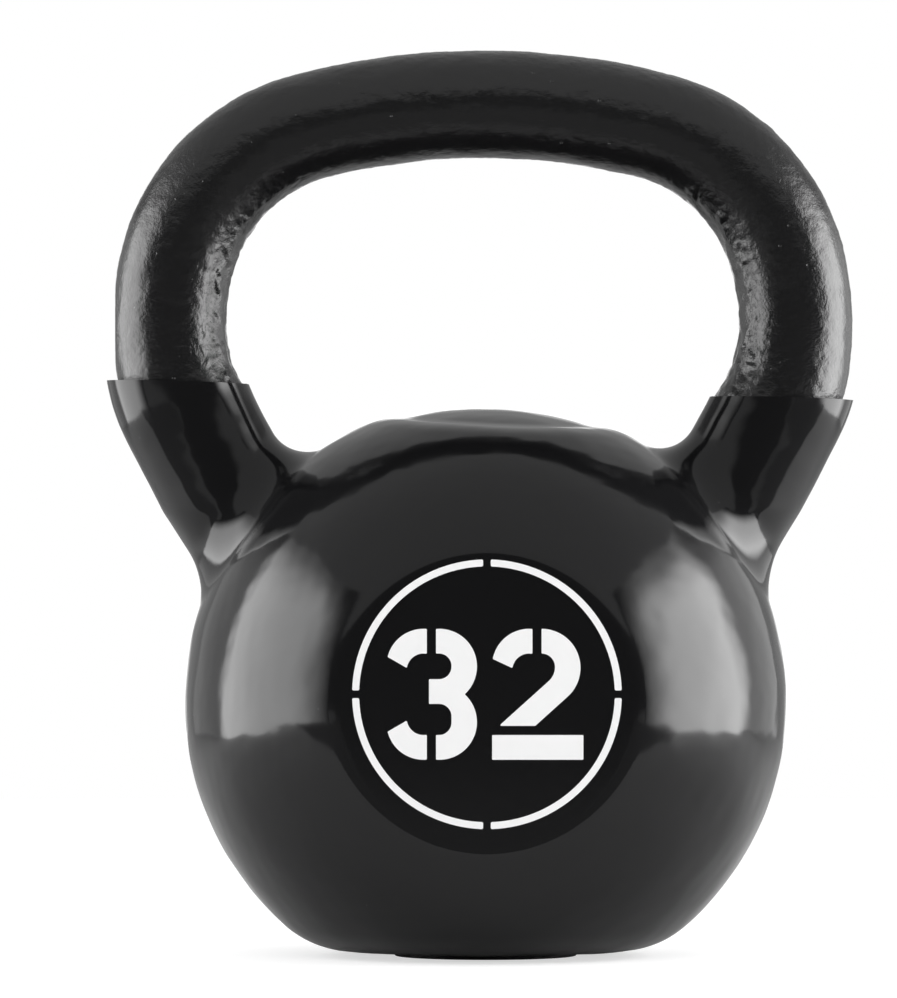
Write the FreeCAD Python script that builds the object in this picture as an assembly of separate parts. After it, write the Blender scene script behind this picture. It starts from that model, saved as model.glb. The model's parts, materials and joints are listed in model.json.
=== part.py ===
"""A 32 kg kettlebell: one iron casting with an enamelled handle, dipped in vinyl up to its horns.

Millimetres. +Z is up, the handle spans X, the marked face looks along -Y, and the origin is the centre
of the underside of the foot pad. Each function makes one piece or one step of it, and build() writes
one file for each piece.
"""
import FreeCAD
import Part
import math
import os

from FreeCAD import Vector

# Iron ball, under the vinyl
BALL_RADIUS = 98.5          # round part of the casting
UNDERSIDE_RADIUS = 56.3     # flat underside, before its rounding
CAP_SHELF = 9.6             # flattened top beyond the foot of its dome, before its rounding
FACE_MARGIN = 4.9           # flat face beyond the printed ring, before its rounding
UNDERSIDE_BLEND = 27.0      # rounding between the ball and its underside
CAP_BLEND = 32.0            # rounding between the ball and its flattened top
FACE_BLEND = 3.0            # rounding between the ball and its flat faces
BOSS_RADIUS = 32.6          # low dome left on the flattened top, at its foot
BOSS_RISE = 6.4             # height of that dome
BOSS_BLEND = 6.0            # hollow rounding at its foot
CROTCH_BLEND = 13.5         # hollow rounding of a horn's root, on the side of the hand
FLANK_BLEND = 28.0          # the same on the outer side, where it is widest

# Handle, as the path of its centreline from the crown down to a horn
SPAN = 213.6                # widest distance between the two centrelines
WINDOW_HEIGHT = 89.5        # from the iron of the dome to the iron under the crown
SHOULDER_BEND = 63.2        # bend radius at the corner
SIDE_BEND = 84.0            # bend radius down the side
TUCK_BEND = 58.7            # bend radius where the side turns in towards the ball
CROWN_TURN = 14.3           # degrees turned at the end of the crown
SHOULDER_TURN = 73.5        # at the end of the shoulder
SIDE_TURN = 96.3            # at the end of the side
HORN_TURN = 119.9           # along the straight horn
HORN_DEPTH = 50.0           # run of the horn's centreline inside the ball

# Handle, as the radius of its iron
CROWN_RADIUS = 18.1
SIDE_RADIUS = 19.05         # at the end of the side
HORN_RADIUS = 19.9          # along the straight horn

# Coats
ENAMEL_WALL = 0.25          # enamel on the handle
ENAMEL_LAP = 12.0           # how far the enamel runs on below the edge of the vinyl
VINYL_WALL = 4.0            # vinyl on the ball and horns
VINYL_EDGE_LEFT = 17.0      # trimmed edge on the -X horn, above the vinyl on the flattened top
VINYL_EDGE_RIGHT = 11.4     # the same on the +X horn
VINYL_LIP = 0.6             # rounding of the trimmed edge

# Foot pad
PAD_RADIUS = 31.0
PAD_THICKNESS = 3.0
PAD_SEAT = 1.0              # depth of its recess in the vinyl
PAD_CLEARANCE = 0.2         # gap around it in the recess
PAD_LIP = 0.6               # rounding of its lower edge

# Printed ring on the front face
INK = 0.2                   # thickness of the print
MARK_RISE = 3.2             # centre of the mark above the ball's centre
RING_STROKE = 2.3
RING_CLEARANCE = 3.7        # from the furthest corner of the figures to the ring
RING_GAP = 2.5
RING_CORNER = 0.5

# Printed stencil figures, with places measured from the centre of the mark
FIGURE_HEIGHT = 42.9
FIGURE_STROKE = 8.1         # level strokes
FIGURE_FLANK = 8.35         # upright stroke at the side of a bowl
FIGURE_GAP = 3.0            # bridge of the stencil
FIGURE_CORNER = 0.3
THREE_GAP_X = -18.2         # middle of the bridge that splits the 3
THREE_OVERLAP = 1.6         # how far each bowl of the 3 runs past a quarter of its height
THREE_BAR_RISE = 0.9        # middle bar above the centre
THREE_BAR_REACH = 2.3       # how far the middle bar reaches left of the bowls
THREE_COUNTER = 4.1         # corner radius of the hollows
TWO_GAP_X = 16.4            # middle of the bridge that splits the 2
TWO_BOWL = 12.75            # outer radius of the bowl of the 2
TWO_SLOPE = 42.0            # degrees from level of the slanting stroke
TWO_FOOT_LEFT = 1.7         # bar at the foot of the 2
TWO_FOOT_RIGHT = 31.6
TWO_HOLLOW = 6.25           # radius where the slanting stroke leaves the bowl, on its inner side
TIP_ARC = 12.1              # outer radius of the loose tips
TIP_HOLLOW = 5.5            # inner radius of the loose tips
TIP_INSET = 1.1             # from the bridge to the centre of the tips' arcs
TIP_REACH = 6.1             # from the bridge to the inner end of a tip's cut
TIP_DROP = 13.1             # from the top of the figure to the inner end of a tip's cut
THREE_TIP_CUT = 30.0        # degrees from level of the cut
TWO_TIP_CUT = 25.0

# Sizes and places that follow from those
RING_RADIUS = math.hypot(TWO_FOOT_RIGHT, FIGURE_HEIGHT / 2) + RING_CLEARANCE + RING_STROKE
UNDERSIDE_DROP, CAP_RISE, FACE_DEPTH = (
    math.sqrt(BALL_RADIUS**2 - flat**2)
    for flat in (UNDERSIDE_RADIUS, BOSS_RADIUS + CAP_SHELF, RING_RADIUS + FACE_MARGIN)
)
THREE_BOWL = FIGURE_HEIGHT / 4 + THREE_OVERLAP
UNDERSIDE_Z = PAD_THICKNESS - PAD_SEAT
BALL_CENTRE = Vector(0, 0, UNDERSIDE_Z + VINYL_WALL + UNDERSIDE_DROP)
CAP_Z = BALL_CENTRE.z + CAP_RISE
CROWN_Z = CAP_Z + BOSS_RISE + WINDOW_HEIGHT + CROWN_RADIUS
BOSS_ROUND = (BOSS_RADIUS**2 + BOSS_RISE**2) / (2 * BOSS_RISE)
FACE_Y = -FACE_DEPTH - VINYL_WALL
MARK_Z = BALL_CENTRE.z + MARK_RISE
FAR = 4 * BALL_RADIUS
NEAR = 1e-3                 # how close counts as touching
MOST_ROUNDING = 0.49        # largest corner radius, as a share of the side between two corners


# ---- the path of the handle ----

def crown_bend():
    """Radius of the crown's wide arc, which makes the handle as wide as SPAN."""
    crown, shoulder = (math.sin(math.radians(turn)) for turn in (CROWN_TURN, SHOULDER_TURN))
    across = SHOULDER_BEND * (shoulder - crown) + SIDE_BEND * (1 - shoulder)
    return (SPAN / 2 - across) / crown


def handle_path():
    """Centreline on the +X side: each arc from the crown down as (start, middle, end), then the horn."""
    bends = (
        (crown_bend(), CROWN_TURN),
        (SHOULDER_BEND, SHOULDER_TURN),
        (SIDE_BEND, SIDE_TURN),
        (TUCK_BEND, HORN_TURN),
    )
    start, turn, path = Vector(0, 0, CROWN_Z), 0.0, []
    for radius, degrees in bends:
        centre = start - radius * Vector(math.sin(turn), 0, math.cos(turn))
        end_turn = math.radians(degrees)
        middle, end = (
            centre + radius * Vector(math.sin(t), 0, math.cos(t)) for t in ((turn + end_turn) / 2, end_turn)
        )
        path.append((start, middle, end))
        start, turn = end, end_turn
    along = Vector(math.cos(turn), 0, -math.sin(turn))
    path.append((start, None, start + along * (distance_to_ball(start, along) + HORN_DEPTH)))
    return path


def distance_to_ball(start, along):
    """How far a horn's centreline runs from its top before it enters the iron ball."""
    to_centre = BALL_CENTRE - start
    closest = to_centre.dot(along)
    off_axis = math.sqrt(to_centre.dot(to_centre) - closest**2)
    return closest - math.sqrt(BALL_RADIUS**2 - off_axis**2)


def mirrored(point):
    return Vector(-point.x, point.y, point.z)


def edge_of(start, middle, end):
    curve = Part.LineSegment(start, end) if middle is None else Part.Arc(start, middle, end)
    return curve.toShape()


def circle_across(edge, at, radius):
    """A circle square to an edge of the path, at one of its parameters."""
    return Part.Wire([Part.makeCircle(radius, edge.valueAt(at), edge.tangentAt(at))])


# ---- helpers for solids ----

def half_space(point, outward):
    """A big block on the outward side of a plane."""
    block = Part.makeBox(2 * FAR, 2 * FAR, FAR, Vector(-FAR, -FAR, 0))
    block.Placement = FreeCAD.Placement(point, FreeCAD.Rotation(Vector(0, 0, 1), outward))
    return block


def edges_where(shape, test):
    """Edges of which every sampled place passes a test."""
    real = [edge for edge in shape.Edges if not edge.Degenerated and edge.Length > NEAR]
    return [edge for edge in real if all(test(place) for place in edge.discretize(5))]


def rim_edges(shape, point, outward):
    """Edges that lie in a plane."""
    return edges_where(shape, lambda place: abs((place - point).dot(outward)) < NEAR)


def is_circle(edge, radius):
    """Whether every sampled place on an edge is that far from the Z axis."""
    return all(abs(math.hypot(place.x, place.y) - radius) < NEAR for place in edge.discretize(5))


# ---- the iron and what covers it ----

def grip(grow):
    """The bent part of the handle, from horn to horn, grown all round by grow."""
    half = handle_path()[:-1]
    other = [(mirrored(end), mirrored(middle), mirrored(start)) for start, middle, end in reversed(half)]
    edges = [edge_of(*bend) for bend in other + half]
    left_tuck, left_side, right_crown, right_tuck = edges[0], edges[1], edges[4], edges[7]
    pipe = Part.BRepOffsetAPI.MakePipeShell(Part.Wire(edges))
    pipe.setFrenetMode(True)
    sections = (
        (left_tuck, left_tuck.FirstParameter, HORN_RADIUS),
        (left_side, left_side.FirstParameter, SIDE_RADIUS),
        (right_crown, right_crown.FirstParameter, CROWN_RADIUS),
        (right_tuck, right_tuck.FirstParameter, SIDE_RADIUS),
        (right_tuck, right_tuck.LastParameter, HORN_RADIUS),
    )
    for edge, at, radius in sections:
        pipe.add(circle_across(edge, at, radius + grow), False, False)
    pipe.build()
    pipe.makeSolid()
    return pipe.shape()


def horn(side, grow):
    """The straight horn on side -1 or +1, which runs into the ball, grown all round by grow."""
    top, _, root = handle_path()[-1]
    if side < 0:
        top, root = mirrored(top), mirrored(root)
    return Part.makeCylinder(HORN_RADIUS + grow, (top - root).Length, root, top - root)


def ball(grow):
    """The ball with its flat underside, top and two faces, grown all round by grow."""
    solid = Part.makeSphere(BALL_RADIUS + grow)
    solid.Placement = FreeCAD.Placement(BALL_CENTRE, FreeCAD.Rotation(Vector(0, 1, 0), 90))
    flats = (
        (Vector(0, 0, -1), UNDERSIDE_DROP, UNDERSIDE_BLEND),
        (Vector(0, 0, 1), CAP_RISE, CAP_BLEND),
        (Vector(0, -1, 0), FACE_DEPTH, FACE_BLEND),
        (Vector(0, 1, 0), FACE_DEPTH, FACE_BLEND),
    )
    for outward, distance, blend in flats:
        point = BALL_CENTRE + outward * (distance + grow)
        solid = solid.cut(half_space(point, outward))
        solid = solid.makeFillet(blend + grow, rim_edges(solid, point, outward))
    return with_boss(solid, grow)


def with_boss(solid, grow):
    """The ball with the low dome on its flattened top."""
    centre, level = Vector(0, 0, CAP_Z + BOSS_RISE - BOSS_ROUND), Vector(0, 0, CAP_Z + grow)
    inside = level - Vector(0, 0, BOSS_RISE)
    dome = Part.makeSphere(BOSS_ROUND + grow, centre).common(half_space(inside, Vector(0, 0, 1)))
    foot_radius = math.sqrt((BOSS_ROUND + grow)**2 - (level.z - centre.z)**2)
    solid = solid.fuse(dome)
    foot = [edge for edge in rim_edges(solid, level, Vector(0, 0, 1)) if is_circle(edge, foot_radius)]
    return solid.makeFillet(BOSS_BLEND - grow, foot)


def root_edge(solid, grow):
    """The edge where the +X horn enters the ball."""
    top, _, root = handle_path()[-1]
    along = (root - top).normalize()

    def on_both(place):
        off_horn = (place - top) - along * (place - top).dot(along)
        on_horn = abs(off_horn.Length - HORN_RADIUS - grow) < NEAR
        return on_horn and abs((place - BALL_CENTRE).Length - BALL_RADIUS - grow) < NEAR

    return edges_where(solid, on_both)[0]


def ball_with_horns(grow):
    """Ball and straight horns, with a hollow blend that widens from the hand's side to the outer side.

    A quarter is blended and then mirrored twice, because the blend's radius grows along half a root.
    """
    quarter = ball(grow).fuse(horn(1, grow))
    for outward in (Vector(0, 1, 0), Vector(-1, 0, 0)):
        quarter = quarter.cut(half_space(Vector(), outward))
    edge = root_edge(quarter, grow)
    inner_first = edge.valueAt(edge.FirstParameter).x < edge.valueAt(edge.LastParameter).x
    radii = (CROTCH_BLEND - grow, FLANK_BLEND - grow)
    quarter = quarter.makeFillet(*(radii if inner_first else reversed(radii)), [edge])
    half = quarter.fuse(quarter.mirror(Vector(), Vector(0, 1, 0)))
    return half.fuse(half.mirror(Vector(), Vector(1, 0, 0))).removeSplitter()


def iron_casting():
    """Ball, horns and handle in one pour."""
    return ball_with_horns(0).fuse(grip(0)).removeSplitter()


def edge_height(side):
    """Height of the vinyl's trimmed edge on one horn."""
    return CAP_Z + VINYL_WALL + (VINYL_EDGE_LEFT if side < 0 else VINYL_EDGE_RIGHT)


def handle_enamel():
    """Enamel skin of the handle, which ends a little way under the vinyl."""
    outside = grip(ENAMEL_WALL).fuse([horn(-1, ENAMEL_WALL), horn(1, ENAMEL_WALL)])
    skin = outside.cut(grip(0).fuse([horn(-1, 0), horn(1, 0)]))
    for side in (-1, 1):
        below = Part.makeBox(FAR, 2 * FAR, FAR)
        below.translate(Vector(min(side, 0) * FAR, -FAR, edge_height(side) - ENAMEL_LAP - FAR))
        skin = skin.cut(below)
    return skin


def vinyl_sleeve(side):
    """Outside of the vinyl on the bends above one horn, up to its trimmed edge."""
    bends = handle_path()[2:4]
    if side < 0:
        bends = [tuple(mirrored(place) for place in bend) for bend in bends]
    edges = [edge_of(*bend) for bend in bends]
    start = circle_across(edges[0], edges[0].FirstParameter, HORN_RADIUS + VINYL_WALL)
    solid = Part.Wire(edges).makePipeShell([start], True, False)
    level, up = Vector(0, 0, edge_height(side)), Vector(0, 0, 1)
    solid = solid.cut(half_space(level, up))
    return solid.makeFillet(VINYL_LIP, rim_edges(solid, level, up))


def vinyl_jacket():
    """The dipped vinyl around the ball and horns, open at both trimmed edges, with the pad's recess."""
    outside = ball_with_horns(VINYL_WALL).fuse([vinyl_sleeve(-1), vinyl_sleeve(1)])
    recess = Part.makeCylinder(PAD_RADIUS + PAD_CLEARANCE, PAD_THICKNESS)
    return outside.cut([iron_casting(), handle_enamel(), recess]).removeSplitter()


def foot_pad():
    """Rubber disc that the bell stands on."""
    pad = Part.makeCylinder(PAD_RADIUS, PAD_THICKNESS)
    return pad.makeFillet(PAD_LIP, rim_edges(pad, Vector(), Vector(0, 0, -1)))


# ---- the printed mark, drawn with x to the right and z up from its centre ----

def disc(x, z, radius):
    return Part.makeCylinder(radius, INK, Vector(x, FACE_Y, MARK_Z + z), Vector(0, -1, 0))


def slab(left, right, bottom, top):
    return Part.makeBox(right - left, INK, top - bottom, Vector(left, FACE_Y - INK, MARK_Z + bottom))


def plate(start, *steps):
    """A flat solid from its outline. A step is an (x, z) corner, or two of them for an arc."""
    def place(point):
        return Vector(point[0], FACE_Y, MARK_Z + point[1])

    edges = []
    for step in steps:
        if isinstance(step[0], tuple):
            middle, end = step
            edges.append(Part.Arc(place(start), place(middle), place(end)).toShape())
        else:
            end = step
            edges.append(Part.LineSegment(place(start), place(end)).toShape())
        start = end
    return Part.Face(Part.Wire(edges)).extrude(Vector(0, -INK, 0))


def on_circle(x, z, radius, degrees):
    turn = math.radians(degrees)
    return (x + radius * math.cos(turn), z + radius * math.sin(turn))


def soften(solid, radius=FIGURE_CORNER):
    """Round the outline's sharp corners."""
    def is_corner(edge):
        faces = solid.ancestorsOfType(edge, Part.Face)
        middle = edge.valueAt((edge.FirstParameter + edge.LastParameter) / 2)
        first, second = (face.normalAt(*face.Surface.parameter(middle)) for face in faces)
        return first.cross(second).Length > 0.3

    upright = [edge for edge in solid.Edges if abs(edge.tangentAt(edge.FirstParameter).y) > 0.99]
    return solid.makeFillet(radius, [edge for edge in upright if is_corner(edge)])


def ring_print():
    """Thin ring, split in four."""
    ring = disc(0, 0, RING_RADIUS).cut(disc(0, 0, RING_RADIUS - RING_STROKE))
    half, reach = RING_GAP / 2, 2 * RING_RADIUS
    quarters = []
    for x in (-1, 1):
        for z in (-1, 1):
            left, right = sorted((x * half, x * reach))
            bottom, top = sorted((z * half, z * reach))
            quarters.append(soften(ring.common(slab(left, right, bottom, top)), RING_CORNER))
    return Part.Compound(quarters)


def tip(bridge_left, side, cut_slope):
    """The loose end of a figure left of its bridge: side 1 is the upper one, -1 the lower one."""
    x, top = bridge_left - TIP_INSET, FIGURE_HEIGHT / 2
    outer = disc(x, side * (top - TIP_ARC), TIP_ARC)
    hollow = disc(x, side * (top - FIGURE_STROKE - TIP_HOLLOW), TIP_HOLLOW)
    solid = outer.cut(hollow).common(slab(-FAR, bridge_left, -FAR, FAR))
    turn = math.radians(cut_slope)
    inner_end = Vector(bridge_left - TIP_REACH, FACE_Y, MARK_Z + side * (top - TIP_DROP))
    return soften(solid.cut(half_space(inner_end, Vector(-math.sin(turn), 0, -side * math.cos(turn)))))


def three_bowls(bridge_right):
    """The part of the 3 right of its bridge: two bowls and the middle bar."""
    top, bar_top = FIGURE_HEIGHT / 2, THREE_BAR_RISE + FIGURE_STROKE / 2
    bar_bottom = bar_top - FIGURE_STROKE
    bowl_x, bowl_z = bridge_right + TIP_INSET, top - THREE_BOWL
    bowls = disc(bowl_x, bowl_z, THREE_BOWL).fuse(disc(bowl_x, -bowl_z, THREE_BOWL))
    solid = bowls.common(slab(bridge_right, FAR, -FAR, FAR))
    flank = bowl_x + THREE_BOWL - FIGURE_FLANK
    for bottom, ceiling in ((bar_top, top - FIGURE_STROKE), (FIGURE_STROKE - top, bar_bottom)):
        corner = min(THREE_COUNTER, MOST_ROUNDING * (ceiling - bottom))
        hollow = slab(bridge_right - 2 * corner, flank, bottom, ceiling)
        solid = solid.cut(soften(hollow, corner))
    bar = slab(bridge_right - THREE_BAR_REACH, bridge_right, bar_bottom, bar_top)
    return soften(solid.fuse(bar).removeSplitter())


def numeral_three():
    """Stencilled 3 in three pieces."""
    left, right = THREE_GAP_X - FIGURE_GAP / 2, THREE_GAP_X + FIGURE_GAP / 2
    tips = [tip(left, side, THREE_TIP_CUT) for side in (1, -1)]
    return Part.Compound([three_bowls(right), *tips])


def two_swan(bridge_right):
    """The part of the 2 right of its bridge: the bowl and the slanting stroke."""
    top, foot = FIGURE_HEIGHT / 2, FIGURE_GAP + FIGURE_STROKE - FIGURE_HEIGHT / 2
    inner_top, flank = top - FIGURE_STROKE, bridge_right + TWO_BOWL - FIGURE_FLANK
    turn, leave = math.radians(TWO_SLOPE), TWO_SLOPE - 90

    def down_the_slope(start):
        return (start[0] - (start[1] - foot) / math.tan(turn), foot)

    outer = [on_circle(bridge_right, top - TWO_BOWL, TWO_BOWL, a) for a in (90, leave / 2 + 45, leave)]
    hollow_x, hollow_z = flank - TWO_HOLLOW, inner_top - (flank - bridge_right)
    inner = [on_circle(hollow_x, hollow_z, TWO_HOLLOW, a) for a in (leave, leave / 2, 0)]
    crook = [on_circle(bridge_right, hollow_z, flank - bridge_right, a) for a in (45, 90)]
    return soften(plate(
        outer[0],
        (outer[1], outer[2]),
        down_the_slope(outer[2]),
        down_the_slope(inner[0]),
        inner[0],
        (inner[1], inner[2]),
        (crook[0], crook[1]),
        outer[0],
    ))


def numeral_two():
    """Stencilled 2 in three pieces."""
    left, right = TWO_GAP_X - FIGURE_GAP / 2, TWO_GAP_X + FIGURE_GAP / 2
    bottom = -FIGURE_HEIGHT / 2
    foot = soften(slab(TWO_FOOT_LEFT, TWO_FOOT_RIGHT, bottom, bottom + FIGURE_STROKE))
    return Part.Compound([two_swan(right), tip(left, 1, TWO_TIP_CUT), foot])


def build():
    os.makedirs("parts", exist_ok=True)
    pieces = (iron_casting, handle_enamel, vinyl_jacket, foot_pad, ring_print, numeral_three, numeral_two)
    for piece in pieces:
        shape = piece()
        shape.exportStep(f"parts/{piece.__name__}.step")
        print(piece.__name__, shape.isValid(), len(shape.Solids), round(shape.Volume), "mm3")


build()
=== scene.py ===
"""A vinyl-dipped kettlebell in a plain studio, as an add-on whose operators each make one piece."""
import json
import math

import bmesh
import bpy
import numpy as np
from bpy.props import FloatProperty, FloatVectorProperty, IntProperty, PointerProperty
from mathutils import Matrix, Vector

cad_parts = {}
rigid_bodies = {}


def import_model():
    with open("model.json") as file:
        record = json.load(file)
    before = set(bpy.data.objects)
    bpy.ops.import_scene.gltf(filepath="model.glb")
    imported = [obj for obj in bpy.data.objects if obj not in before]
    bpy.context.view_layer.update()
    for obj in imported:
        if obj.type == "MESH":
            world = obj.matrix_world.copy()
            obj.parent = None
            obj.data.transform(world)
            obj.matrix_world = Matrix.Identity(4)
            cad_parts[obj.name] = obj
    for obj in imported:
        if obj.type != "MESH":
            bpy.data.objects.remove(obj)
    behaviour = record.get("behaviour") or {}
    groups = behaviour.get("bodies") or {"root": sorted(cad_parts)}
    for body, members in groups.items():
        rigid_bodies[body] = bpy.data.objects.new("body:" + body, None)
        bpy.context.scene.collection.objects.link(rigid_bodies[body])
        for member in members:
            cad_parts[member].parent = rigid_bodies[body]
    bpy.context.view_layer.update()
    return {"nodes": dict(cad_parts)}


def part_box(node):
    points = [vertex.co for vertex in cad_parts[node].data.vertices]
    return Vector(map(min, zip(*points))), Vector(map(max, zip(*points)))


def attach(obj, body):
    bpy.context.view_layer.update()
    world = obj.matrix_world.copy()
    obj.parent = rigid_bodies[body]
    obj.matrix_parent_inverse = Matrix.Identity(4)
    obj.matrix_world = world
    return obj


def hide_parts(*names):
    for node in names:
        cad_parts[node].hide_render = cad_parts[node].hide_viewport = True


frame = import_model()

bl_info = {
    "name": "Kettlebell looks",
    "version": (1, 0, 0),
    "blender": (4, 5, 0),
    "location": "3D View > Sidebar > Kettlebell",
    "description": "Models and paints a vinyl-dipped kettlebell around its frame",
    "category": "Object",
}

MM = 0.001
JACKET_LOW, JACKET_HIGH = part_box("vinyl_jacket")
ENAMEL_LOW, ENAMEL_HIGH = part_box("handle_enamel")
PAD_LOW, PAD_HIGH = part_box("foot_pad")


# ---- sizes and colours that a user would change ----

def length(name, description, millimetres):
    return FloatProperty(name=name, description=description, default=millimetres * MM, unit="LENGTH", precision=5)


def degrees(name, description, value):
    return FloatProperty(name=name, description=description, default=math.radians(value), subtype="ANGLE")


def share(name, description, value):
    return FloatProperty(name=name, description=description, default=value, min=0, max=1, subtype="FACTOR")


def colour(name, description, value):
    return FloatVectorProperty(
        name=name, description=description, default=value, size=3, min=0, max=1, subtype="COLOR"
    )


class BallSizes(bpy.types.PropertyGroup):
    """Outside of the vinyl on the ball."""

    radius: length("Ball radius", "Outside of the vinyl on the round of the ball", 102.5)
    underside_blend: length("Underside rounding", "Between the ball and its flat underside", 31)
    underside_drop: length("Underside drop", "From the ball's centre down to its underside", 84.8)
    face_blend: length("Face rounding", "Between the ball and a flat face", 7)
    cap_rise: length("Top rise", "From the ball's centre up to its flattened top", 94.9)
    cap_blend: length("Top rounding", "Between the ball and its flattened top", 26)
    cap_lean: degrees("Top lean", "How far the flattened top leans down towards +X", 2.6)
    cap_nod: degrees("Top nod", "How far the flattened top leans down towards the front", 3.6)
    dome_rise: length("Dome rise", "Height of the low dome on the flattened top", 4.6)
    dome_radius: length("Dome radius", "Foot of that dome", 31.5)
    dome_blend: length("Dome rounding", "Hollow rounding at the foot of the dome", 6)
    wave_height: length("Wave height", "Height of the soft waves in the dipped vinyl", 0.07)
    wave_length: length("Wave length", "From crest to crest of those waves", 24)


class HandleSizes(bpy.types.PropertyGroup):
    """Centreline and thickness of the handle, and the vinyl on its horns."""

    span: length("Span", "Widest distance between the two centrelines", 213.6)
    shoulder_bend: length("Shoulder bend", "Bend radius at the corner", 63.2)
    side_bend: length("Side bend", "Bend radius down the side", 84)
    tuck_bend: length("Tuck bend", "Bend radius where the side turns in towards the ball", 58.7)
    crown_turn: degrees("Crown turn", "Turned at the end of the crown", 14.3)
    shoulder_turn: degrees("Shoulder turn", "Turned at the end of the shoulder", 73.5)
    side_turn: degrees("Side turn", "Turned at the end of the side", 96.3)
    horn_turn: degrees("Horn turn", "Turned along the straight horn", 119.9)
    crown_radius: length("Crown radius", "Enamelled handle at its crown", 18.35)
    side_radius: length("Side radius", "Enamelled handle at the end of its side", 19.3)
    horn_radius: length("Horn radius", "Enamelled handle at the top of its horn", 20.15)
    sleeve_radius: length("Sleeve radius", "Outside of the vinyl on a horn", 23.9)
    crotch_blend: length("Crotch rounding", "Root of a horn on the side of the hand", 12)
    flank_blend: length("Flank rounding", "Root of a horn on its outer side", 24)
    offset: length("Offset", "How far the cast handle stands off centre towards -X", 1.0)
    horn_offset: length("Horn offset", "How far the +X sleeve stands off its place towards -X", 1.6)
    bow: length("Bow", "How far the sleeves bow outwards", 2.5)
    bow_height: length("Bow height", "Where the sleeves bow outwards most", 168)
    bow_reach: length("Bow reach", "How far up and down the bow runs", 43)
    waist: length("Waist", "How much thinner the sleeves are above the ball", 1.3)
    waist_height: length("Waist height", "Where the sleeves are thinnest", 181)
    edge_lean: degrees("Edge lean", "How far the vinyl's edges lean down towards +X", 1.5)
    edge_step: length("Edge step", "How much lower the vinyl ends on the +X horn", 5.6)
    edge_wall: length("Edge wall", "Width of the vinyl's trimmed edge", 4)
    edge_lip: length("Edge rounding", "Rounding of the trimmed edge", 1.25)
    grain: length("Grain", "Height of the cast grain under the enamel", 0.034)
    lap_rise: length("Lap rise", "Height of the rough strip on the inside of the loop", 0.35)


class Fineness(bpy.types.PropertyGroup):
    """How finely the meshes are made."""

    vinyl_grid: length("Vinyl grid", "Size of a face on the vinyl", 1.5)
    handle_round: IntProperty(name="Handle round", description="Faces round the handle", default=144, min=24)
    handle_grid: length("Handle grid", "Length of a face along the handle", 0.82)


class Finishes(bpy.types.PropertyGroup):
    """Colours and gloss."""

    vinyl: colour("Vinyl", "Dipped vinyl", (0.0054, 0.0054, 0.0058))
    vinyl_roughness: share("Vinyl roughness", "Dipped vinyl", 0.10)
    enamel: colour("Enamel", "Enamel on the handle", (0.0062, 0.0062, 0.0065))
    enamel_roughness: share("Enamel roughness", "Enamel on the handle", 0.15)
    dust: colour("Dust", "Specks of dust", (0.16, 0.16, 0.16))
    rubber: colour("Rubber", "Foot pad", (0.016, 0.016, 0.016))
    ink: colour("Ink", "Printed mark", (0.97, 0.97, 0.97))
    iron: colour("Iron", "Bare casting", (0.09, 0.088, 0.085))
    floor: colour("Floor", "Pale floor", (0.50, 0.50, 0.50))


class Studio(bpy.types.PropertyGroup):
    """Camera and lights."""

    camera_distance: length("Camera distance", "From the camera to the middle of the bell", 2400)
    camera_height: length("Camera height", "Above the floor", 121)
    aim_height: length("Aim height", "Height that the camera looks at", 155.3)
    aim_left: length("Aim left", "How far to the -X side the camera stands and looks", 12.6)
    view_height: length("View height", "Height of the picture where the bell stands", 339.8)
    left_light: FloatProperty(name="Left light", description="Brightness of the left softbox", default=5.0)
    right_light: FloatProperty(name="Right light", description="Brightness of the right softbox", default=7.5)
    daylight: FloatProperty(name="Daylight", description="Even light on matte surfaces", default=0.8)
    fill_light: FloatProperty(name="Fill light", description="Power of the front fill", default=17.0)
    ceiling: FloatProperty(name="Ceiling", description="Brightness overhead", default=0.5)
    dark_side: FloatProperty(name="Dark side", description="Brightness behind the camera", default=0.07)


# ---- shapes as distances, in arrays of points ----

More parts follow.
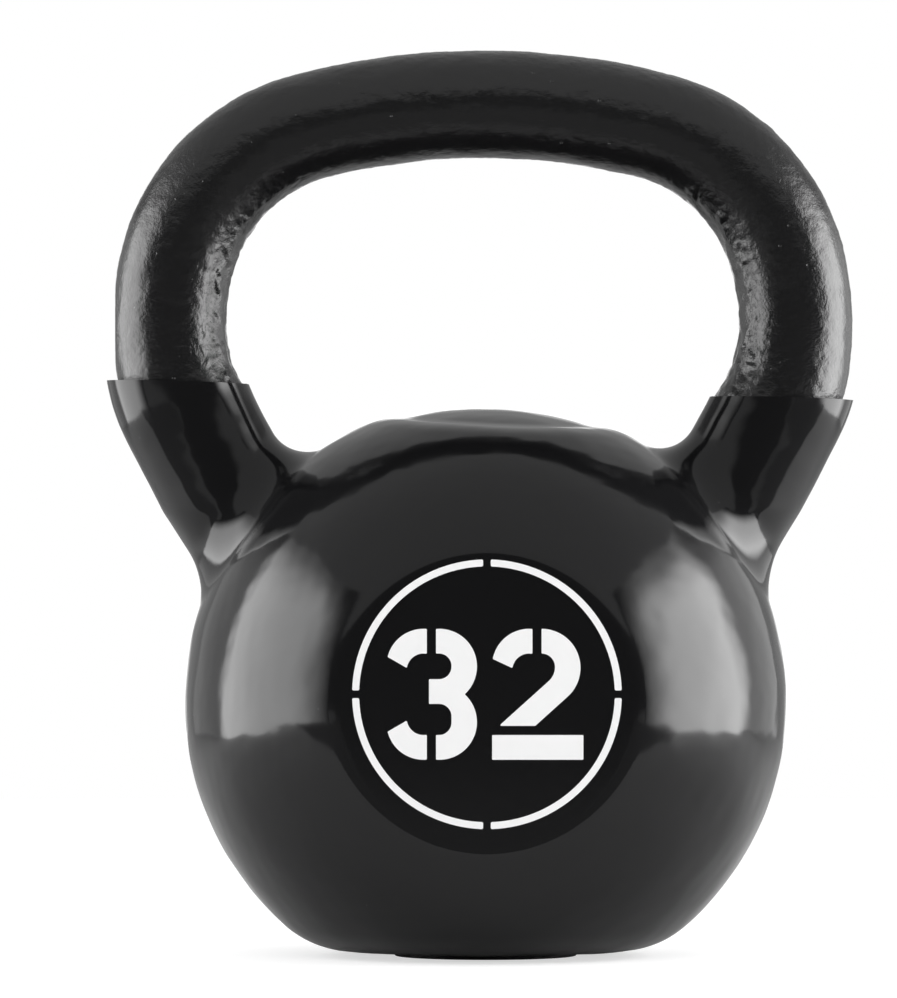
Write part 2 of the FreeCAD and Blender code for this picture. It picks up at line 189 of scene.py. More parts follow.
class HandlePath:
    """Centreline of the handle in the XZ plane: crown, shoulder, side, tuck and straight horn, on both sides."""

    def __init__(self, size):
        turns = (size.crown_turn, size.shoulder_turn, size.side_turn, size.horn_turn)
        crown, shoulder = math.sin(turns[0]), math.sin(turns[1])
        across = size.shoulder_bend * (shoulder - crown) + size.side_bend * (1 - shoulder)
        crown_bend = (size.span / 2 - across) / crown
        x, z, turn, run = 0.0, ENAMEL_HIGH.z - size.crown_radius, 0.0, 0.0
        self.bends, self.stations = [], [0.0]
        for radius, end in zip((crown_bend, size.shoulder_bend, size.side_bend, size.tuck_bend), turns):
            centre = (x - radius * math.sin(turn), z - radius * math.cos(turn))
            self.bends.append((centre, radius, turn, end, run))
            x, z = centre[0] + radius * math.sin(end), centre[1] + radius * math.cos(end)
            run += radius * (end - turn)
            turn = end
            self.stations.append(run)
        self.top, self.along = (x, z), (math.cos(turn), -math.sin(turn))

    def measure(self, points, offset=0.0):
        """Distance of points from the centreline, their run along it from the crown, and their turn round it."""
        across, up = np.abs(points[:, 0] + offset), points[:, 2]
        best = np.full(len(points), np.inf)
        run, outward = np.zeros(len(points)), np.zeros(len(points))

        def keep(gap, side, at):
            closer = np.abs(gap) < best
            best[closer] = np.abs(gap)[closer]
            outward[closer] = (np.sign(side) * np.abs(gap))[closer]
            run[closer] = at[closer]

        for (cx, cz), radius, first, last, start in self.bends:
            turn = np.arctan2(across - cx, up - cz).clip(first, last)
            gap = np.hypot(across - cx - radius * np.sin(turn), up - cz - radius * np.cos(turn))
            keep(gap, np.hypot(across - cx, up - cz) - radius, start + radius * (turn - first))
        (tx, tz), (ax, az) = self.top, self.along
        down = ((across - tx) * ax + (up - tz) * az).clip(0, 80 * MM)
        gap = np.hypot(across - tx - down * ax, up - tz - down * az)
        keep(gap, (up - tz) * ax - (across - tx) * az, self.stations[-1] + down)
        side = np.where(points[:, 0] + offset < 0, -1, 1)
        return np.hypot(best, points[:, 1]), run * side, np.arctan2(points[:, 1], outward)


def melt(first, second, rounding):
    """Join two distances with a hollow rounding."""
    one, two = np.maximum(rounding - first, 0), np.maximum(rounding - second, 0)
    return np.maximum(rounding, np.minimum(first, second)) - np.hypot(one, two)


def flattened_ball(points, centre, axis, radius, flat, blend):
    """Distance to a ball that has one rounded flat, square to an axis."""
    rel = points - centre
    depth = rel @ axis
    across = np.sqrt(np.maximum((rel**2).sum(1) - depth**2, 0))
    hold = flat - blend
    reach = math.sqrt((radius - blend)**2 - hold**2)
    round_part = np.hypot(depth, across) - radius
    blend_part = np.hypot(depth - hold, across - reach) - blend
    on_blend = (depth > 0) & (across * hold < depth * reach)
    return np.where((across < reach) & (depth > 0), depth - flat, np.where(on_blend, blend_part, round_part))


def waves(points, wave_length, seed, count=14):
    """Smooth random waves, about one high."""
    rng = np.random.default_rng(seed)
    total = np.zeros(len(points))
    for _ in range(count):
        direction = rng.normal(size=3)
        direction *= 2 * math.pi / (wave_length * rng.uniform(0.7, 1.6) * np.linalg.norm(direction))
        total += np.sin(points @ direction + rng.uniform(0, 2 * math.pi))
    return total / math.sqrt(count / 2)


def ramp(values, low, high):
    """0 up to low, 1 from high, and smooth between them."""
    part = ((values - low) / (high - low)).clip(0, 1)
    return part * part * (3 - 2 * part)


def vertex_places(mesh):
    points = np.empty(len(mesh.vertices) * 3)
    mesh.vertices.foreach_get("co", points)
    return points.reshape(-1, 3)


def slope_of(distance, points, probe=0.02 * MM):
    sides = [distance(points + step) - distance(points - step) for step in np.eye(3) * probe]
    return np.stack(sides, 1) / (2 * probe)


def settle(mesh, distance, steps=3):
    """Move every vertex of a mesh along the slope of a distance until it lies on the surface."""
    points = vertex_places(mesh)
    for _ in range(steps):
        slope = slope_of(distance, points)
        points = points - slope * (distance(points) / np.maximum((slope**2).sum(1), 0.05))[:, None]
    mesh.vertices.foreach_set("co", points.ravel())
    mesh.update()


def press(mesh, distance, proud):
    """Move every vertex of a settled mesh out by a height of its own, or in where that is negative."""
    points = vertex_places(mesh)
    slope = slope_of(distance, points)
    points = points + slope * (proud / np.linalg.norm(slope, axis=1))[:, None]
    mesh.vertices.foreach_set("co", points.ravel())
    mesh.update()


# ---- modelling helpers ----

def deselect():
    if bpy.context.mode != "OBJECT":
        bpy.ops.object.mode_set(mode="OBJECT")
    bpy.ops.object.select_all(action="DESELECT")


def named(name):
    """The object just added, with its name, and nothing else selected."""
    piece = bpy.context.object
    piece.name = piece.data.name = name
    return piece


def choose(piece, kind, test):
    """Select a piece's vertices, edges or faces by a test, in edit mode."""
    select_mode = {"verts": "VERT", "edges": "EDGE", "faces": "FACE"}[kind]
    bpy.ops.mesh.select_mode(type=select_mode)
    bpy.ops.mesh.select_all(action="DESELECT")
    shape = bmesh.from_edit_mesh(piece.data)
    for element in getattr(shape, kind):
        element.select_set(test(element))
    shape.select_flush_mode()
    bmesh.update_edit_mesh(piece.data)


def apply_modifier(piece, kind, **settings):
    modifier = piece.modifiers.new(kind.title(), kind)
    for name, value in settings.items():
        setattr(modifier, name, value)
    bpy.context.view_layer.objects.active = piece
    bpy.ops.object.modifier_apply(modifier=modifier.name)


def into_place(piece):
    """Put an object's place, turn and size into its mesh."""
    deselect()
    piece.select_set(True)
    bpy.context.view_layer.objects.active = piece
    bpy.ops.object.transform_apply(location=True, rotation=True, scale=True)


def smooth_by_angle(piece, limit):
    deselect()
    piece.select_set(True)
    bpy.context.view_layer.objects.active = piece
    bpy.ops.object.shade_smooth_by_angle(angle=math.radians(limit))


def hand_over(piece, node, paint):
    """Paint a finished piece, and let it stand for a node of the frame."""
    into_place(piece)
    piece.data.materials.clear()
    piece.data.materials.append(paint)
    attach(piece, "root")
    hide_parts(node)


# ---- shader maths ----

class Value:
    """A socket, on which sums add Math nodes."""

    def __init__(self, recipe, socket):
        self.recipe, self.socket = recipe, socket

    def math(self, operation, first, second=0.0, third=0.0, clamp=False):
        settings = {"operation": operation, "use_clamp": clamp}
        return self.recipe.node("ShaderNodeMath", settings, {0: first, 1: second, 2: third})

    def __add__(self, other):
        return self.math("ADD", self, other)

    def __sub__(self, other):
        return self.math("SUBTRACT", self, other)

    def __rsub__(self, other):
        return self.math("SUBTRACT", other, self)

    def __mul__(self, other):
        return self.math("MULTIPLY", self, other)

    def __gt__(self, other):
        return self.math("GREATER_THAN", self, other)

    def __lt__(self, other):
        return self.math("LESS_THAN", self, other)

    __radd__, __rmul__ = __add__, __mul__

    def between(self, low, high):
        """0 up to low, 1 from high, and smooth between them."""
        sockets = {"Value": self, "From Min": low, "From Max": high}
        return self.recipe.node("ShaderNodeMapRange", {"interpolation_type": "SMOOTHSTEP"}, sockets)


class Recipe:
    """A node tree that is written as expressions."""

    def __init__(self, tree):
        self.tree = tree

    def node(self, kind, settings=None, sockets=None, output=0):
        made = self.tree.nodes.new(kind)
        for name, value in (settings or {}).items():
            setattr(made, name, value)
        for name, value in (sockets or {}).items():
            if isinstance(value, Value):
                self.tree.links.new(value.socket, made.inputs[name])
            else:
                made.inputs[name].default_value = value
        return Value(self, made.outputs[output]) if made.outputs else None

    def place(self, stretch=(1, 1, 1)):
        """Where a point is on the piece, in metres, with an optional stretch along each axis."""
        at = self.node("ShaderNodeTexCoord", output="Object")
        return self.node("ShaderNodeMapping", {}, {"Vector": at, "Scale": stretch})

    def noise(self, at, size, detail=2.0, roughness=0.5):
        """Cloudy noise whose lumps are about a given size."""
        sockets = {"Vector": at, "Scale": 1 / size, "Detail": detail, "Roughness": roughness}
        return self.node("ShaderNodeTexNoise", {}, sockets)

    def specks(self, at, spacing, size, kept):
        """1 inside small round specks: a share of those on a loose grid is kept."""
        sockets = {"Vector": at, "Scale": 1 / spacing}
        away = self.node("ShaderNodeTexVoronoi", {}, sockets, "Distance")
        chance = self.node("ShaderNodeTexVoronoi", {}, sockets, "Color")
        chance = self.node("ShaderNodeSeparateColor", {}, {"Color": chance})
        return (1 - away.between(size / spacing / 2, size / spacing)) * (chance < kept)

    def mix(self, share_of_second, first, second):
        sockets = {0: share_of_second, 6: (*first, 1), 7: (*second, 1)}
        return self.node("ShaderNodeMix", {"data_type": "RGBA"}, sockets, 2)

    def bump(self, height, depth, normal=None):
        sockets = {"Height": height, "Distance": depth, "Strength": 1.0}
        if normal is not None:
            sockets["Normal"] = normal
        return self.node("ShaderNodeBump", {}, sockets)


def paint(name, build):
    """A new material, whose build function fills in a recipe and returns the shader's sockets."""
    material = bpy.data.materials.new(name)
    material.use_nodes = True
    recipe = Recipe(material.node_tree)
    recipe.tree.nodes.clear()
    shader = recipe.node("ShaderNodeBsdfPrincipled", {}, build(recipe))
    recipe.node("ShaderNodeOutputMaterial", {}, {"Surface": shader})
    return material


def dipped_vinyl(look):
    def build(recipe):
        at = recipe.place()
        dust = recipe.specks(at, 7 * MM, 0.16 * MM, 0.35)
        smear = recipe.noise(at, 30 * MM, 4.0, 0.6)
        ripple = recipe.noise(at, 5 * MM, 1.0)
        peel = recipe.noise(at, 0.9 * MM, 1.0)
        blister = recipe.specks(at, 5 * MM, 0.35 * MM, 0.12)
        relief = recipe.bump(ripple + 0.12 * peel + 1.4 * blister, 0.012 * MM)
        return {
            "Base Color": recipe.mix(dust, look.vinyl, look.dust),
            "Roughness": look.vinyl_roughness * 0.7 + smear * look.vinyl_roughness * 0.6 + dust * 0.3,
            "IOR": 1.46,
            "Normal": relief,
        }
    return paint("dipped_vinyl", build)


def cast_enamel(look):
    def build(recipe):
        at = recipe.place()
        grain = recipe.noise(at, 1.1 * MM, 3.0, 0.6)
        lumps = recipe.noise(at, 6 * MM, 2.0)
        pits = recipe.specks(at, 3.2 * MM, 0.55 * MM, 0.10)
        dust = recipe.specks(at, 5 * MM, 0.2 * MM, 0.3)
        fine = recipe.noise(at, 0.5 * MM, 1.0)
        relief = recipe.bump(grain + 1.2 * lumps + 0.3 * fine - 1.6 * pits, 0.14 * MM)
        return {
            "Base Color": recipe.mix(dust, look.enamel, look.dust),
            "Roughness": look.enamel_roughness + 0.10 * grain + 0.25 * dust,
            "IOR": 1.6,
            "Normal": relief,
        }
    return paint("cast_enamel", build)


def white_ink(look):
    def build(recipe):
        at = recipe.place()
        tooth = recipe.noise(at, 0.6 * MM, 2.0)
        wear = recipe.noise(at, 9 * MM, 3.0)
        paler = tuple(c * 0.97 for c in look.ink)
        return {
            "Base Color": recipe.mix(wear, look.ink, paler),
            "Roughness": 0.42 + 0.12 * tooth,
            "Normal": recipe.bump(tooth, 0.004 * MM),
        }
    return paint("white_ink", build)


def pad_rubber(look):
    def build(recipe):
        at = recipe.place()
        tooth = recipe.noise(at, 0.8 * MM, 3.0)
        scuff = recipe.noise(at, 12 * MM, 3.0).between(0.5, 0.75)
        dusty = tuple(c * 3 for c in look.rubber)
        return {
            "Base Color": recipe.mix(scuff * 0.6, look.rubber, dusty),
            "Roughness": 0.62 + 0.2 * tooth,
            "Normal": recipe.bump(tooth, 0.05 * MM),
        }
    return paint("pad_rubber", build)


def bare_iron(look):
    def build(recipe):
        at = recipe.place()
        sand = recipe.noise(at, 1.3 * MM, 4.0, 0.65)
        patch = recipe.noise(at, 25 * MM, 3.0)
        brown = (look.iron[0] * 1.2, look.iron[1] * 0.9, look.iron[2] * 0.7)
        return {
            "Base Color": recipe.mix(patch, look.iron, brown),
            "Roughness": 0.55 + 0.25 * sand,
            "Metallic": 0.8,
            "Normal": recipe.bump(sand, 0.15 * MM),
        }
    return paint("bare_iron", build)


def pale_floor(look):
    def build(recipe):
        at = recipe.place()
        cloud = recipe.noise(at, 400 * MM, 2.0)
        dimmer = tuple(c * 0.985 for c in look.floor)
        seen = recipe.node("ShaderNodeLightPath", output="Is Camera Ray")
        return {
            "Base Color": recipe.mix(cloud, look.floor, dimmer),
            "Roughness": 0.9,
            "Specular IOR Level": 0.0,
            "Emission Color": recipe.mix(seen, (0, 0, 0), (0.62, 0.62, 0.62)),
            "Emission Strength": 1.0,
        }
    return paint("pale_floor", build)


def glow_paint(name, strength):
    """A material that only shines. Strength is a number, or a function that works it out in a recipe."""
    material = bpy.data.materials.new(name)
    material.use_nodes = True
    recipe = Recipe(material.node_tree)
    recipe.tree.nodes.clear()
    shine = strength(recipe) if callable(strength) else strength
    light = recipe.node("ShaderNodeEmission", {}, {"Color": (1, 1, 1, 1), "Strength": shine})
    recipe.node("ShaderNodeOutputMaterial", {}, {"Surface": light})
    return material


# ---- pieces ----

class KETTLEBELL_OT_jacket(bpy.types.Operator):
    """Dipped vinyl over the ball and the horns"""

    bl_idname = "kettlebell.jacket"
    bl_label = "Vinyl jacket"

    def execute(self, context):
        scene = context.scene
        ball, handle, fine = scene.bell_ball, scene.bell_handle, scene.bell_fineness
        centre = Vector((0, 0, JACKET_LOW.z + ball.underside_drop))
        path = HandlePath(handle)
        # the vinyl is trimmed at a different height on each horn
        edges = {
            -1: Vector((JACKET_LOW.x, 0, JACKET_HIGH.z)),
            1: Vector((-JACKET_LOW.x - 2 * handle.sleeve_radius, 0, JACKET_HIGH.z - handle.edge_step)),
        }
        jacket = self.rough_shape(centre, ball, handle, path)
        apply_modifier(jacket, "REMESH", mode="VOXEL", voxel_size=fine.vinyl_grid)
        surface = self.surface(centre, ball, handle, path)
        for passes in (12, 8, 3):
            settle(jacket.data, surface)
            bpy.ops.object.mode_set(mode="EDIT")
            bpy.ops.mesh.select_all(action="SELECT")
            bpy.ops.mesh.vertices_smooth(factor=0.5, repeat=passes)
            bpy.ops.object.mode_set(mode="OBJECT")
        settle(jacket.data, surface)
        for side, place in edges.items():
            self.trim(jacket, side, place, handle)
        points = vertex_places(jacket.data).clip(np.array(JACKET_LOW), np.array(JACKET_HIGH))
        jacket.data.vertices.foreach_set("co", points.ravel())
        smooth_by_angle(jacket, 40)
        hand_over(jacket, "vinyl_jacket", dipped_vinyl(scene.bell_finishes))
        return {"FINISHED"}

    def rough_shape(self, centre, ball, handle, path):
        """A ball and two stubs, joined."""
        deselect()
        bpy.ops.mesh.primitive_uv_sphere_add(segments=96, ring_count=48, radius=ball.radius, location=centre)
        jacket = named("vinyl_jacket_skin")
        (tx, tz), (ax, az) = path.top, path.along
        above, below = 30 * MM, 70 * MM
        for side in (-1, 1):
            down = Vector((side * ax, 0, az))
            middle = Vector((side * tx, 0, tz)) + down * (below - above) / 2
            bpy.ops.mesh.primitive_cylinder_add(
                vertices=64,
                radius=handle.sleeve_radius,
                depth=above + below,
                location=middle,
                rotation=(-down).to_track_quat("Z", "Y").to_euler(),
            )
        for piece in bpy.context.view_layer.objects:
            piece.select_set(piece == jacket or piece.name.startswith("Cylinder"))
        bpy.context.view_layer.objects.active = jacket
        bpy.ops.object.join()
        into_place(jacket)
        return jacket

    def surface(self, centre, ball, handle, path):
        """The outside of the vinyl as a distance, with its roundings, waves and leaning top."""
        middle = np.array(centre)
        leaning = np.array((math.tan(ball.cap_lean), -math.tan(ball.cap_nod), 1.0))
        leaning = leaning / np.linalg.norm(leaning)
        face_depth = -JACKET_LOW.y
        flats = (
            (np.array((0, 0, -1.0)), ball.underside_drop, ball.underside_blend),
            (leaning, ball.cap_rise, ball.cap_blend),
            (np.array((0, -1.0, 0)), face_depth, ball.face_blend),
            (np.array((0, 1.0, 0)), face_depth, ball.face_blend),
        )
        dome_round = (ball.dome_radius**2 + ball.dome_rise**2) / (2 * ball.dome_rise)
        dome_centre = middle + leaning * (ball.cap_rise + ball.dome_rise - dome_round)

        def distance(points):
            body = np.max([flattened_ball(points, middle, axis, ball.radius, f, b) for axis, f, b in flats], 0)
            dome = np.linalg.norm(points - dome_centre, axis=1) - dome_round
            dome = np.maximum(dome, ball.cap_rise - 15 * MM - (points - middle) @ leaning)
            body = melt(body, dome, 0.15 * ball.dome_blend)
            plus = points[:, 0] > 0
            bow = (1 - ((points[:, 2] - handle.bow_height) / handle.bow_reach)**2).clip(0, None)
            offset = bow * handle.bow * np.where(plus, -0.6, 1) + np.where(plus, handle.horn_offset, 0)
            away, _, turn = path.measure(points, offset)
            waist = (1 - ((points[:, 2] - handle.waist_height) / (30 * MM))**2).clip(0, None)
            horn = away - handle.sleeve_radius + handle.waist * waist
            outward = (points - middle) / np.linalg.norm(points - middle, axis=1)[:, None]
            (ax, az) = path.along
            side = np.sign(points[:, 0])
            horn_out = np.stack([-az * np.cos(turn) * side, np.sin(turn), ax * np.cos(turn)], 1)
            square = 1 - (outward * horn_out).sum(1).clip(-1, 0.95)
            share_out = (0.5 + 0.5 * np.cos(turn))**2
            blend = handle.crotch_blend + (handle.flank_blend - handle.crotch_blend) * share_out
            skin = melt(body, horn, blend * square)
            off_face = np.clip((face_depth - np.abs(points[:, 1]) - 0.3 * MM) / (8 * MM), 0, 1)
            relief = waves(points, ball.wave_length, 4) - 1.0 + 0.22 * waves(points, 0.36 * ball.wave_length, 5, 24)
            return skin - off_face * ball.wave_height * relief

        return distance

    def trim(self, jacket, side, place, handle):
        """Cut a sleeve off, and give its edge a rounding, a flat top and a step down to the handle."""
        lean, lip = handle.edge_lean, handle.edge_lip
        across = Vector((math.sin(lean), 0, math.cos(lean)))
        cut = place - across * lip

        def on_cut(vertex):
            return vertex.co.x * side > 0 and abs((vertex.co - cut).dot(across)) < 0.02 * MM

        bpy.context.view_layer.objects.active = jacket
        bpy.ops.object.mode_set(mode="EDIT")
        choose(jacket, "verts", lambda v: v.co.x * side > 0)
        bpy.ops.mesh.bisect(plane_co=cut, plane_no=across, use_fill=True, clear_outer=True, clear_inner=False)
        choose(jacket, "verts", on_cut)
        bpy.ops.mesh.remove_doubles(threshold=0.45 * MM)
        choose(jacket, "faces", lambda f: f.normal.dot(across) > 0.99 and all(on_cut(v) for v in f.verts))
        for turn in (15, 45, 75):
            inwards, upwards = math.sin(math.radians(turn)) / 1.93, math.cos(math.radians(turn)) / 1.93
            bpy.ops.mesh.inset(thickness=lip * inwards, depth=lip * upwards)
        bpy.ops.mesh.inset(thickness=handle.edge_wall - 2 * lip, depth=0)
        bpy.ops.mesh.inset(thickness=0.3 * MM, depth=-0.3 * MM)
        bpy.ops.mesh.inset(thickness=0.3 * MM, depth=-2 * MM)
        bpy.ops.object.mode_set(mode="OBJECT")


class KETTLEBELL_OT_handle(bpy.types.Operator):
    """Enamelled handle with its cast grain, laps and rough inner strip"""

    bl_idname = "kettlebell.handle"
    bl_label = "Handle"

    def execute(self, context):
        scene = context.scene
        size, fine = scene.bell_handle, scene.bell_fineness
        path = HandlePath(size)
        handle = self.swept_tube(path, size, fine)
        smooth = self.surface(path, size)
        settle(handle.data, smooth, steps=2)
        self.roughen(handle.data, smooth, path, size)
        smooth_by_angle(handle, 50)
        hand_over(handle, "handle_enamel", cast_enamel(scene.bell_finishes))
        return {"FINISHED"}

    def swept_tube(self, path, size, fine):
        """A circle spun through every bend, from the -X horn to the +X horn."""
        deselect()
        (tx, tz), (ax, az) = path.top, path.along
        heading, below = Vector((ax, 0, -az)), 14 * MM
        bpy.ops.mesh.primitive_circle_add(
            vertices=fine.handle_round,
            radius=size.crown_radius,
            fill_type="NGON",
            location=Vector((-tx, 0, tz)) - heading * below,
            rotation=heading.to_track_quat("Z", "Y").to_euler(),
        )
        handle = named("handle_skin")
        into_place(handle)
        bpy.ops.object.mode_set(mode="EDIT")
        bpy.ops.mesh.select_all(action="SELECT")
        self.run_straight(heading, below, fine.handle_grid)
        bends = [(cx, cz, radius, last - first) for (cx, cz), radius, first, last, _ in path.bends]
        mirrored = [(-cx, cz, radius, turn) for cx, cz, radius, turn in reversed(bends)]
        for cx, cz, radius, turn in mirrored + bends:
            steps = max(2, round(radius * turn / fine.handle_grid))
            bpy.ops.mesh.spin(steps=steps, angle=-turn, center=(cx, 0, cz), axis=(0, 1, 0))
        self.run_straight(Vector((ax, 0, az)), below, fine.handle_grid)
        bpy.ops.mesh.select_all(action="SELECT")
        bpy.ops.mesh.remove_doubles(threshold=0.01 * MM)
        bpy.ops.mesh.normals_make_consistent(inside=False)
        bpy.ops.object.mode_set(mode="OBJECT")
        return handle

    def run_straight(self, heading, distance, grid):
        """Extrude the end of the tube in short steps."""
        steps = round(distance / grid)
        for _ in range(steps):
            move = {"value": heading * (distance / steps)}
            bpy.ops.mesh.extrude_region_move(TRANSFORM_OT_translate=move)

    def surface(self, path, size):
        """The outside of the enamel as a distance, before its cast grain."""
        radii = (size.crown_radius, size.crown_radius, size.side_radius, size.side_radius, size.horn_radius)

        def distance(points):
            away, run, _ = path.measure(points, size.offset)
            return away - np.interp(np.abs(run), path.stations, radii)

        return distance

    def roughen(self, mesh, smooth, path, size):
        """Press cast grain and lumps into the enamel, and leave a rough strip proud on the inside of the loop."""
        points = vertex_places(mesh)
        _, run, turn = path.measure(points, size.offset)
        inner = math.pi - np.abs(turn)
        reach = math.radians(38) + math.radians(3.2) * waves(points, 9 * MM, 21) + 0.05 * waves(points, 3.5 * MM, 22)
        sides = ramp(np.abs(run), path.stations[1] - 5 * MM, path.stations[2] - 20 * MM)
        strip = ramp(reach - inner, -0.02, 0.04) * sides
        crack = ramp(0.07 - np.abs(inner - reach - 0.03), 0, 0.05) * sides
        crack = crack * ramp(waves(points, 30 * MM, 23), -0.5, 0.6)
        rough = ramp(math.radians(72) - inner, 0, 0.35) * (0.35 + 0.65 * sides)
        rough = np.maximum(rough, ramp(JACKET_HIGH.z + 14 * MM - points[:, 2], 0, 12 * MM) * 0.8)
        patchy = ramp(waves(points, 22 * MM, 24), -0.7, 0.9)
        grain = size.grain * (1 + 0.6 * rough * patchy) * waves(points, 2.7 * MM, 25, 40)
        lumps = size.grain * 1.1 * waves(points, 8 * MM, 26, 24)
        swell = size.grain * 1.8 * waves(points, 24 * MM, 27)
        ridges = size.lap_rise * (strip * (1 + 0.35 * waves(points, 6 * MM, 28)) - 0.9 * crack)
        press(mesh, smooth, (grain + lumps + swell + ridges - 0.05 * MM).clip(-0.22 * MM, None))
        self.keep_inside(mesh)

    def keep_inside(self, mesh):
        """Hold back whatever stands proud of the enamel's own box."""
        points = vertex_places(mesh).clip(np.array(ENAMEL_LOW), np.array(ENAMEL_HIGH))
        mesh.vertices.foreach_set("co", points.ravel())
        mesh.update()


class KETTLEBELL_OT_pad(bpy.types.Operator):
    """Rubber disc under the ball"""

    bl_idname = "kettlebell.pad"
    bl_label = "Foot pad"

    def execute(self, context):
        deselect()
        radius, thickness = (PAD_HIGH.x - PAD_LOW.x) / 2, PAD_HIGH.z - PAD_LOW.z
        bpy.ops.mesh.primitive_cylinder_add(
            vertices=160, radius=radius, depth=thickness, end_fill_type="NGON", location=(0, 0, thickness / 2)
        )
        pad = named("foot_pad_disc")
        into_place(pad)
        bpy.ops.object.mode_set(mode="EDIT")
        choose(pad, "edges", lambda e: all(abs(v.co.z) < 1e-6 for v in e.verts))
        bpy.ops.mesh.bevel(offset=0.6 * MM, segments=4, affect="EDGES")
        choose(pad, "faces", lambda f: f.normal.z < -0.99)
        bpy.ops.mesh.inset(thickness=3 * MM, depth=0)
        bpy.ops.mesh.inset(thickness=0.5 * MM, depth=-0.3 * MM)
        bpy.ops.object.mode_set(mode="OBJECT")
        smooth_by_angle(pad, 40)
        hand_over(pad, "foot_pad", pad_rubber(context.scene.bell_finishes))
        return {"FINISHED"}


class KETTLEBELL_OT_print(bpy.types.Operator):
    """White ink on the ring and the numerals"""

    bl_idname = "kettlebell.print"
    bl_label = "Print"

    def execute(self, context):
        look = context.scene.bell_finishes
        ink = white_ink(look)
        for node in ("ring_print", "numeral_three", "numeral_two"):
            for slot in frame["nodes"][node].material_slots:
                slot.material = ink
        return {"FINISHED"}


class KETTLEBELL_OT_casting(bpy.types.Operator):
    """Bare casting inside the enamel and the vinyl, kept clear of their inner faces"""

    bl_idname = "kettlebell.casting"
    bl_label = "Casting"

    def execute(self, context):
        deselect()
        casting = bpy.data.objects.new("casting_core", frame["nodes"]["iron_casting"].data.copy())
        context.collection.objects.link(casting)
        casting.select_set(True)
        context.view_layer.objects.active = casting
        bpy.ops.object.mode_set(mode="EDIT")
        bpy.ops.mesh.select_all(action="SELECT")
        bpy.ops.mesh.remove_doubles(threshold=0.001 * MM)
        bpy.ops.object.mode_set(mode="OBJECT")
        apply_modifier(casting, "DISPLACE", strength=-1.6 * MM, mid_level=0.0)
        smooth_by_angle(casting, 40)
        hand_over(casting, "iron_casting", bare_iron(context.scene.bell_finishes))
        return {"FINISHED"}


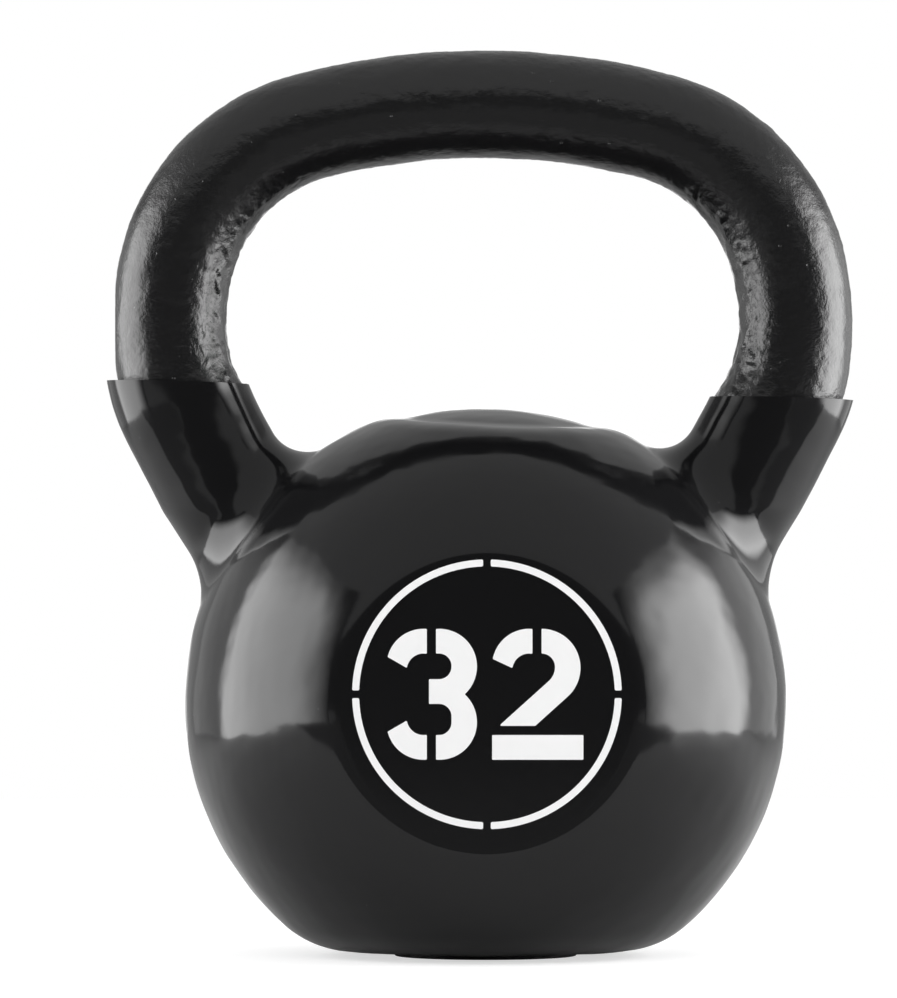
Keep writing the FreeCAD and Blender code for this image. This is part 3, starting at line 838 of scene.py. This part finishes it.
class KETTLEBELL_OT_stage(bpy.types.Operator):
    """Pale floor, soft lights and camera"""

    bl_idname = "kettlebell.stage"
    bl_label = "Studio"

    def execute(self, context):
        studio = context.scene.bell_studio
        self.floor(context)
        self.world(studio)
        self.softbox("left_softbox", -1, (-0.42, -0.17), (0.22, 0.30), 0.14, studio.left_light)
        self.softbox("right_softbox", 1, (-0.42, -0.17), (0.12, 0.30), 0.16, studio.right_light)
        self.dark_card()
        self.fill(studio)
        self.camera(context, studio)
        context.scene.view_settings.view_transform = "Standard"
        return {"FINISHED"}

    def floor(self, context):
        deselect()
        bpy.ops.mesh.primitive_circle_add(vertices=128, radius=1.9, fill_type="NGON", location=(0, 0, 0))
        floor = named("floor")
        floor.data.materials.append(pale_floor(context.scene.bell_finishes))

    def world(self, studio):
        """White for the camera; for reflections a dim room, darker behind the camera than overhead."""
        world = bpy.data.worlds.new("studio_world")
        world.use_nodes = True
        recipe = Recipe(world.node_tree)
        recipe.tree.nodes.clear()
        direction = recipe.node("ShaderNodeTexCoord", output="Generated")
        split = recipe.node("ShaderNodeSeparateXYZ", {}, {"Vector": direction}, "Z")
        back = recipe.node("ShaderNodeSeparateXYZ", {}, {"Vector": direction}, "Y")
        lift = split.between(0.31, 0.41)
        rear = back.between(-0.2, 0.6)
        sideways = recipe.node("ShaderNodeSeparateXYZ", {}, {"Vector": direction}, "X")
        narrow = 1 - sideways.math("ABSOLUTE", sideways).between(0.08, 0.30)
        white = back.between(0.86, 0.98) * (1 - split.between(0.08, 0.25)) * narrow
        room = studio.dark_side + (studio.ceiling - studio.dark_side) * (1 - (1 - lift) * (1 - 0.8 * rear))
        seen = recipe.node("ShaderNodeLightPath", output="Is Camera Ray")
        soft = recipe.node("ShaderNodeLightPath", output="Is Diffuse Ray")
        room = room + white * 1.5
        strength = seen + (1 - seen) * (soft * studio.daylight + (1 - soft) * room)
        shade = recipe.node("ShaderNodeBackground", {}, {"Color": (1, 1, 1, 1), "Strength": strength})
        recipe.node("ShaderNodeOutputWorld", {}, {"Surface": shade})
        bpy.context.scene.world = world

    def softbox(self, name, side, front, back, tail, strength):
        """A glowing wall beside the bell. It fades in from its front edge, and dims to a tail towards the back."""
        deselect()
        away, far, top = 0.62, 0.80, 0.62
        bpy.ops.mesh.primitive_plane_add(size=1)
        wall = named(name)
        wall.data.transform(Matrix.Diagonal((top, far - front[0], 1, 1)))
        wall.data.transform(Matrix.Rotation(math.pi / 2, 4, "Y"))
        wall.data.transform(Matrix.Translation((side * away, (far + front[0]) / 2, top / 2)))

        def shine(recipe):
            at = recipe.node("ShaderNodeTexCoord", output="Object")
            along = recipe.node("ShaderNodeSeparateXYZ", {}, {"Vector": at}, "Y")
            up = recipe.node("ShaderNodeSeparateXYZ", {}, {"Vector": at}, "Z")
            glow = along.between(*front) * (1 - (1 - tail) * along.between(*back))
            return glow * (1 - 0.8 * up.between(top * 0.6, top)) * strength

        wall.data.materials.append(glow_paint(name, shine))
        wall.visible_camera = False
        wall.visible_shadow = False

    def dark_card(self):
        """A black card lying in front of the bell, which only reflections show."""
        deselect()
        bpy.ops.mesh.primitive_plane_add(size=1)
        card = named("dark_card")
        width, depth, front_edge, lift = 1.24, 1.4, -0.2, 0.002
        card.data.transform(Matrix.Diagonal((width, depth, 1, 1)))
        card.data.transform(Matrix.Translation((0, front_edge - depth / 2, lift)))
        card.data.materials.append(glow_paint("dark_card", 0.2))
        card.visible_camera = card.visible_shadow = card.visible_diffuse = False

    def fill(self, studio):
        """A broad light from the front that lifts matte surfaces and leaves no reflection."""
        deselect()
        bpy.ops.object.light_add(type="AREA", location=(-0.3, -2.6, 1.6))
        lamp = bpy.context.object
        lamp.name = "front_fill"
        lamp.data.size = 1.6
        lamp.data.energy = studio.fill_light
        lamp.rotation_euler = (Vector((0, 0, 0.1)) - lamp.location).to_track_quat("-Z", "Y").to_euler()
        lamp.visible_glossy = False
        lamp.visible_camera = False

    def camera(self, context, studio):
        deselect()
        aim = Vector((-studio.aim_left, 0, studio.aim_height))
        place = Vector((-studio.aim_left, -studio.camera_distance, studio.camera_height))
        bpy.ops.object.camera_add(location=place)
        camera = bpy.context.object
        camera.name = "camera"
        camera.rotation_euler = (aim - place).to_track_quat("-Z", "Y").to_euler()
        camera.data.sensor_width = 36
        camera.data.lens = camera.data.sensor_width * studio.camera_distance / studio.view_height
        context.scene.camera = camera


class KETTLEBELL_PT_panel(bpy.types.Panel):
    """Every step of the kettlebell"""

    bl_idname = "KETTLEBELL_PT_panel"
    bl_label = "Kettlebell"
    bl_space_type = "VIEW_3D"
    bl_region_type = "UI"
    bl_category = "Kettlebell"

    def draw(self, context):
        for step in STEPS:
            self.layout.operator(step.bl_idname)


STEPS = (
    KETTLEBELL_OT_jacket,
    KETTLEBELL_OT_handle,
    KETTLEBELL_OT_pad,
    KETTLEBELL_OT_print,
    KETTLEBELL_OT_casting,
    KETTLEBELL_OT_stage,
)
GROUPS = {
    "bell_ball": BallSizes,
    "bell_handle": HandleSizes,
    "bell_fineness": Fineness,
    "bell_finishes": Finishes,
    "bell_studio": Studio,
}


def register():
    for made in (*GROUPS.values(), *STEPS, KETTLEBELL_PT_panel):
        bpy.utils.register_class(made)
    for name, group in GROUPS.items():
        setattr(bpy.types.Scene, name, PointerProperty(type=group))


def unregister():
    for name in GROUPS:
        delattr(bpy.types.Scene, name)
    for made in reversed((*GROUPS.values(), *STEPS, KETTLEBELL_PT_panel)):
        bpy.utils.unregister_class(made)


def main():
    register()
    for step in STEPS:
        group, action = step.bl_idname.split(".")
        getattr(getattr(bpy.ops, group), action)()


if __name__ == "__main__":
    main()
